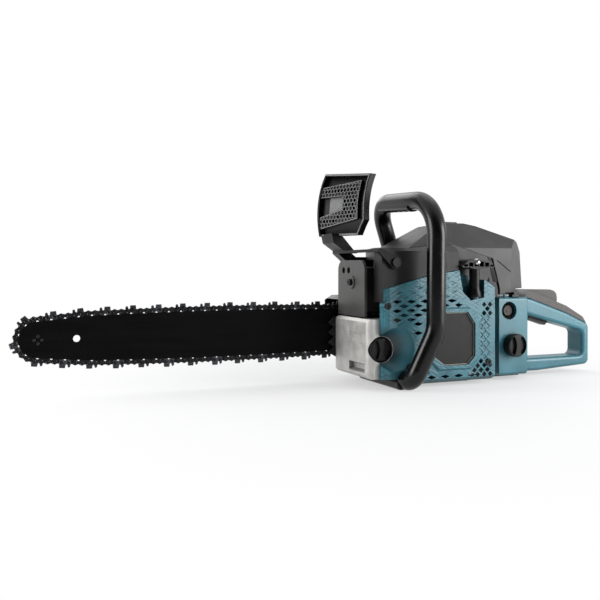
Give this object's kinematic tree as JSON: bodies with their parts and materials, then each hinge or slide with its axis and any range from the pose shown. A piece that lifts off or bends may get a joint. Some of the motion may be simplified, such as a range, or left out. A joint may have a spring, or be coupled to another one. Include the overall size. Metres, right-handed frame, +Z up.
{
  "type": "petrol chainsaw",
  "caption": "Petrol chainsaw with guide bar and saw chain, recoil starter, loop rear handle with throttle, bent front handle and tilting hand guard.",
  "frame": {"origin": "on the floor, straight under the crankshaft's axis, in the cylinder's middle plane, at the centre of the flat underside that the saw stands on", "axes": "+X forward to the tip of the bar, +Y to the operator's left (starter side), +Z up"},
  "size_m": [0.8466, 0.2107, 0.303],
  "materials": {
    "case_metal": "bead-blasted die casting",
    "shaft_steel": "ground",
    "bearing_steel": "ground",
    "seal_rubber": "matt",
    "machined_metal": "machined",
    "black_plastic": "satin moulded",
    "teal_plastic": "fine moulded texture",
    "bright_screw": "zinc plated",
    "dark_plastic": "satin moulded",
    "rope_cord": "braided",
    "bar_paint": "satin black lacquer",
    "chain_steel": "blued and oiled",
    "cutter_steel": "hard chromed",
    "friction_lining": "machined",
    "black_paint": "satin black",
    "muffler_metal": "pressed sheet, heat toned",
    "shield_metal": "heat-proof grey",
    "filter_felt": "flocked",
    "grip_rubber": "satin",
    "grey_plastic": "satin moulded"
  },
  "bodies": {
    "root": {"crankcase_left": "case_metal", "crankcase_right": "case_metal", "crankshaft": "shaft_steel", "crank_bearings": "bearing_steel", "seals_and_gasket": "seal_rubber", "shaft_nuts": "shaft_steel", "connecting_rod": "shaft_steel", "piston": "machined_metal", "piston_pin": "shaft_steel", "piston_ring": "bearing_steel", "cylinder": "machined_metal", "spark_plug": "shaft_steel", "plug_boot": "seal_rubber", "flywheel": "machined_metal", "ignition_coil": "black_plastic", "recoil_spring": "bearing_steel", "starter_housing": "teal_plastic", "cover_screws": "bright_screw", "label_plate": "dark_plastic", "starter_rope": "rope_cord", "guide_bar": "bar_paint", "nose_sprocket": "shaft_steel", "chain_drive_links": "chain_steel", "chain_tie_straps": "chain_steel", "chain_cutters": "cutter_steel", "chain_rivets": "chain_steel", "clutch_drum": "friction_lining", "clutch_shoes": "friction_lining", "brake_band": "shaft_steel", "oil_pump": "case_metal", "clutch_cover": "black_plastic", "bar_studs_and_nuts": "bright_screw", "spiked_bumper": "black_paint", "muffler": "muffler_metal", "muffler_shield": "shield_metal", "cylinder_cover": "black_plastic", "intake_boot": "seal_rubber", "carburettor": "machined_metal", "air_filter": "filter_felt", "tank_handle": "teal_plastic", "buffer_rubbers": "seal_rubber", "front_handle_tube": "black_paint", "front_handle_sleeve": "grip_rubber", "handle_base_bar": "shield_metal", "handle_top_strip": "grey_plastic", "pivot_pins": "bright_screw"},
    "hand_guard": {"hand_guard": "black_plastic"},
    "throttle_trigger": {"throttle_trigger": "black_plastic"},
    "throttle_butterfly": {"throttle_butterfly": "bright_screw"},
    "throttle_lockout": {"throttle_lockout": "grey_plastic"},
    "starter_grip": {"starter_grip": "black_plastic", "rope_knot": "bright_screw"},
    "starter_pulley": {"starter_pulley": "black_plastic"},
    "fuel_cap_seal": {"fuel_cap_seal": "seal_rubber"},
    "fuel_cap": {"fuel_cap": "black_plastic"},
    "oil_cap_seal": {"oil_cap_seal": "seal_rubber"},
    "oil_cap": {"oil_cap": "black_plastic"},
    "stop_switch": {"stop_switch": "black_plastic"},
    "choke_knob": {"choke_knob": "black_plastic"},
    "filter_cover": {"filter_cover": "dark_plastic"}
  },
  "joints": [
    {"name": "hand_guard_tilt", "type": "hinge", "parent": "root", "child": "hand_guard", "pos_m": [0.08, 0, 0.17], "axis": [0, 1, 0], "range_deg": [0, 20]},
    {"name": "throttle_pull", "type": "hinge", "parent": "root", "child": "throttle_trigger", "pos_m": [-0.176, 0.017, 0.103], "axis": [0, 1, 0], "range_deg": [0, 14], "stiffness_Nm_per_rad": 0.8, "springref_deg": -5.73},
    {"name": "throttle_open", "type": "hinge", "parent": "root", "child": "throttle_butterfly", "pos_m": [-0.075, 0, 0.147], "axis": [0, 0, 1], "range_deg": [0, 75]},
    {"name": "lockout_press", "type": "hinge", "parent": "root", "child": "throttle_lockout", "pos_m": [-0.176, 0.017, 0.119], "axis": [0, -1, 0], "range_deg": [0, 9], "stiffness_Nm_per_rad": 0.8, "springref_deg": -4.58},
    {"name": "starter_pull", "type": "slide", "parent": "root", "child": "starter_grip", "axis": [0, 0, 1], "range_m": [0, 0.8], "stiffness_N_per_m": 12, "springref_m": -0.35, "deforming": ["starter_rope"]},
    {"name": "pulley_spin", "type": "hinge", "parent": "root", "child": "starter_pulley", "pos_m": [0, 0.061, 0.073], "axis": [0, 1, 0], "range_deg": [0, 1770]},
    {"name": "fuel_cap_turn", "type": "hinge", "parent": "fuel_cap_seal", "child": "fuel_cap", "pos_m": [-0.1205, 0.062, 0.0515], "axis": [0, 1, 0], "range_deg": [0, 541]},
    {"name": "fuel_cap_lift", "type": "slide", "parent": "root", "child": "fuel_cap_seal", "axis": [0, 1, 0], "range_m": [0, 0.012]},
    {"name": "oil_cap_turn", "type": "hinge", "parent": "oil_cap_seal", "child": "oil_cap", "pos_m": [0.0945, 0.0605, 0.0535], "axis": [0, 1, 0], "range_deg": [0, 541]},
    {"name": "oil_cap_lift", "type": "slide", "parent": "root", "child": "oil_cap_seal", "axis": [0, 1, 0], "range_m": [0, 0.012]},
    {"name": "stop_switch_slide", "type": "slide", "parent": "root", "child": "stop_switch", "axis": [1, 0, 0], "range_m": [0, 0.005]},
    {"name": "choke_pull", "type": "slide", "parent": "root", "child": "choke_knob", "axis": [-1, 0, 0], "range_m": [0, 0.014]},
    {"name": "filter_cover_lift", "type": "slide", "parent": "root", "child": "filter_cover", "axis": [-0.6, 0, 0.8], "range_m": [0, 0.07]}
  ],
  "couplings": [
    {"joint": "throttle_open", "follows": "throttle_pull", "ratio": 5.3571},
    {"joint": "pulley_spin", "follows": "starter_pull", "rad_per_m": 38.462},
    {"joint": "fuel_cap_turn", "follows": "fuel_cap_lift", "rad_per_m": 785.4},
    {"joint": "oil_cap_turn", "follows": "oil_cap_lift", "rad_per_m": 785.4}
  ]
}
